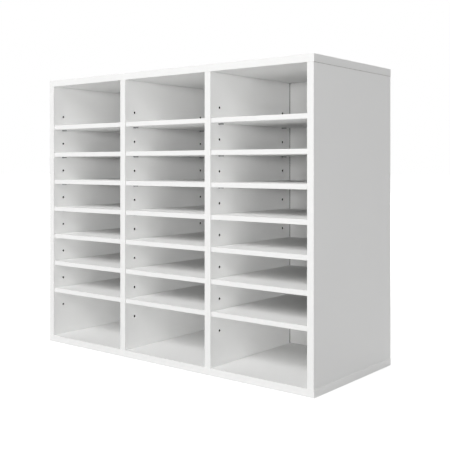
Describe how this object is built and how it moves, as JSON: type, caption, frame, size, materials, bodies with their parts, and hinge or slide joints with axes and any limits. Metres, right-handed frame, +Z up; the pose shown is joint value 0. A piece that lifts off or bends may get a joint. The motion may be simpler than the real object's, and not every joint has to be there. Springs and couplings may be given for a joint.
{
  "type": "pigeonhole mail sorter",
  "caption": "Open-fronted white board mail sorter: upright dividers form columns of flat pigeonholes, with loose shelves on pins set in drilled hole rows.",
  "frame": {"origin": "on the floor plane, under the middle of the carcass in width and depth", "axes": "+Z up, +Y from the open front to the back, +X to the right seen from the front"},
  "size_m": [0.738, 0.3, 0.618],
  "materials": {
    "carcass_melamine": "white melamine-faced particle board with banded edges",
    "shelf_melamine": "white melamine-faced thin board with a banded front edge",
    "back_hardboard": "white-faced hardboard",
    "zinc_steel": "zinc-plated steel",
    "beech": "bare beech dowel",
    "cap_plastic": "white plastic cap, flush"
  },
  "bodies": {
    "carcass": {"top_panel": "carcass_melamine", "bottom_panel": "carcass_melamine", "left_side_panel": "carcass_melamine", "left_divider": "carcass_melamine", "right_divider": "carcass_melamine", "right_side_panel": "carcass_melamine", "back_panel": "back_hardboard", "top_screw_left_side_panel_front": "zinc_steel", "bottom_screw_left_side_panel_front": "zinc_steel", "top_screw_left_side_panel_rear": "zinc_steel", "bottom_screw_left_side_panel_rear": "zinc_steel", "top_screw_left_divider_front": "zinc_steel", "bottom_screw_left_divider_front": "zinc_steel", "top_screw_left_divider_rear": "zinc_steel", "bottom_screw_left_divider_rear": "zinc_steel", "top_screw_right_divider_front": "zinc_steel", "bottom_screw_right_divider_front": "zinc_steel", "top_screw_right_divider_rear": "zinc_steel", "bottom_screw_right_divider_rear": "zinc_steel", "top_screw_right_side_panel_front": "zinc_steel", "bottom_screw_right_side_panel_front": "zinc_steel", "top_screw_right_side_panel_rear": "zinc_steel", "bottom_screw_right_side_panel_rear": "zinc_steel", "top_dowel_left_side_panel": "beech", "bottom_dowel_left_side_panel": "beech", "top_dowel_left_divider": "beech", "bottom_dowel_left_divider": "beech", "top_dowel_right_divider": "beech", "bottom_dowel_right_divider": "beech", "top_dowel_right_side_panel": "beech", "bottom_dowel_right_side_panel": "beech", "cap_left_side_panel_front": "cap_plastic", "cap_left_side_panel_rear": "cap_plastic", "cap_left_divider_front": "cap_plastic", "cap_left_divider_rear": "cap_plastic", "cap_right_divider_front": "cap_plastic", "cap_right_divider_rear": "cap_plastic", "cap_right_side_panel_front": "cap_plastic", "cap_right_side_panel_rear": "cap_plastic"},
    "shelf_left_1": {"shelf_left_1": "shelf_melamine"},
    "shelf_left_2": {"shelf_left_2": "shelf_melamine"},
    "shelf_left_3": {"shelf_left_3": "shelf_melamine"},
    "shelf_left_4": {"shelf_left_4": "shelf_melamine"},
    "shelf_left_5": {"shelf_left_5": "shelf_melamine"},
    "shelf_left_6": {"shelf_left_6": "shelf_melamine"},
    "shelf_left_7": {"shelf_left_7": "shelf_melamine"},
    "shelf_middle_1": {"shelf_middle_1": "shelf_melamine"},
    "shelf_middle_2": {"shelf_middle_2": "shelf_melamine"},
    "shelf_middle_3": {"shelf_middle_3": "shelf_melamine"},
    "shelf_middle_4": {"shelf_middle_4": "shelf_melamine"},
    "shelf_middle_5": {"shelf_middle_5": "shelf_melamine"},
    "shelf_middle_6": {"shelf_middle_6": "shelf_melamine"},
    "shelf_middle_7": {"shelf_middle_7": "shelf_melamine"},
    "shelf_right_1": {"shelf_right_1": "shelf_melamine"},
    "shelf_right_2": {"shelf_right_2": "shelf_melamine"},
    "shelf_right_3": {"shelf_right_3": "shelf_melamine"},
    "shelf_right_4": {"shelf_right_4": "shelf_melamine"},
    "shelf_right_5": {"shelf_right_5": "shelf_melamine"},
    "shelf_right_6": {"shelf_right_6": "shelf_melamine"},
    "shelf_right_7": {"shelf_right_7": "shelf_melamine"}
  },
  "joints": [
    {"name": "shelf_left_1_draw", "type": "slide", "parent": "carcass", "child": "shelf_left_1", "axis": [0, -1, 0], "range_m": [0, 0.3]},
    {"name": "shelf_left_2_draw", "type": "slide", "parent": "carcass", "child": "shelf_left_2", "axis": [0, -1, 0], "range_m": [0, 0.3]},
    {"name": "shelf_left_3_draw", "type": "slide", "parent": "carcass", "child": "shelf_left_3", "axis": [0, -1, 0], "range_m": [0, 0.3]},
    {"name": "shelf_left_4_draw", "type": "slide", "parent": "carcass", "child": "shelf_left_4", "axis": [0, -1, 0], "range_m": [0, 0.3]},
    {"name": "shelf_left_5_draw", "type": "slide", "parent": "carcass", "child": "shelf_left_5", "axis": [0, -1, 0], "range_m": [0, 0.3]},
    {"name": "shelf_left_6_draw", "type": "slide", "parent": "carcass", "child": "shelf_left_6", "axis": [0, -1, 0], "range_m": [0, 0.3]},
    {"name": "shelf_left_7_draw", "type": "slide", "parent": "carcass", "child": "shelf_left_7", "axis": [0, -1, 0], "range_m": [0, 0.3]},
    {"name": "shelf_middle_1_draw", "type": "slide", "parent": "carcass", "child": "shelf_middle_1", "axis": [0, -1, 0], "range_m": [0, 0.3]},
    {"name": "shelf_middle_2_draw", "type": "slide", "parent": "carcass", "child": "shelf_middle_2", "axis": [0, -1, 0], "range_m": [0, 0.3]},
    {"name": "shelf_middle_3_draw", "type": "slide", "parent": "carcass", "child": "shelf_middle_3", "axis": [0, -1, 0], "range_m": [0, 0.3]},
    {"name": "shelf_middle_4_draw", "type": "slide", "parent": "carcass", "child": "shelf_middle_4", "axis": [0, -1, 0], "range_m": [0, 0.3]},
    {"name": "shelf_middle_5_draw", "type": "slide", "parent": "carcass", "child": "shelf_middle_5", "axis": [0, -1, 0], "range_m": [0, 0.3]},
    {"name": "shelf_middle_6_draw", "type": "slide", "parent": "carcass", "child": "shelf_middle_6", "axis": [0, -1, 0], "range_m": [0, 0.3]},
    {"name": "shelf_middle_7_draw", "type": "slide", "parent": "carcass", "child": "shelf_middle_7", "axis": [0, -1, 0], "range_m": [0, 0.3]},
    {"name": "shelf_right_1_draw", "type": "slide", "parent": "carcass", "child": "shelf_right_1", "axis": [0, -1, 0], "range_m": [0, 0.3]},
    {"name": "shelf_right_2_draw", "type": "slide", "parent": "carcass", "child": "shelf_right_2", "axis": [0, -1, 0], "range_m": [0, 0.3]},
    {"name": "shelf_right_3_draw", "type": "slide", "parent": "carcass", "child": "shelf_right_3", "axis": [0, -1, 0], "range_m": [0, 0.3]},
    {"name": "shelf_right_4_draw", "type": "slide", "parent": "carcass", "child": "shelf_right_4", "axis": [0, -1, 0], "range_m": [0, 0.3]},
    {"name": "shelf_right_5_draw", "type": "slide", "parent": "carcass", "child": "shelf_right_5", "axis": [0, -1, 0], "range_m": [0, 0.3]},
    {"name": "shelf_right_6_draw", "type": "slide", "parent": "carcass", "child": "shelf_right_6", "axis": [0, -1, 0], "range_m": [0, 0.3]},
    {"name": "shelf_right_7_draw", "type": "slide", "parent": "carcass", "child": "shelf_right_7", "axis": [0, -1, 0], "range_m": [0, 0.3]}
  ]
}
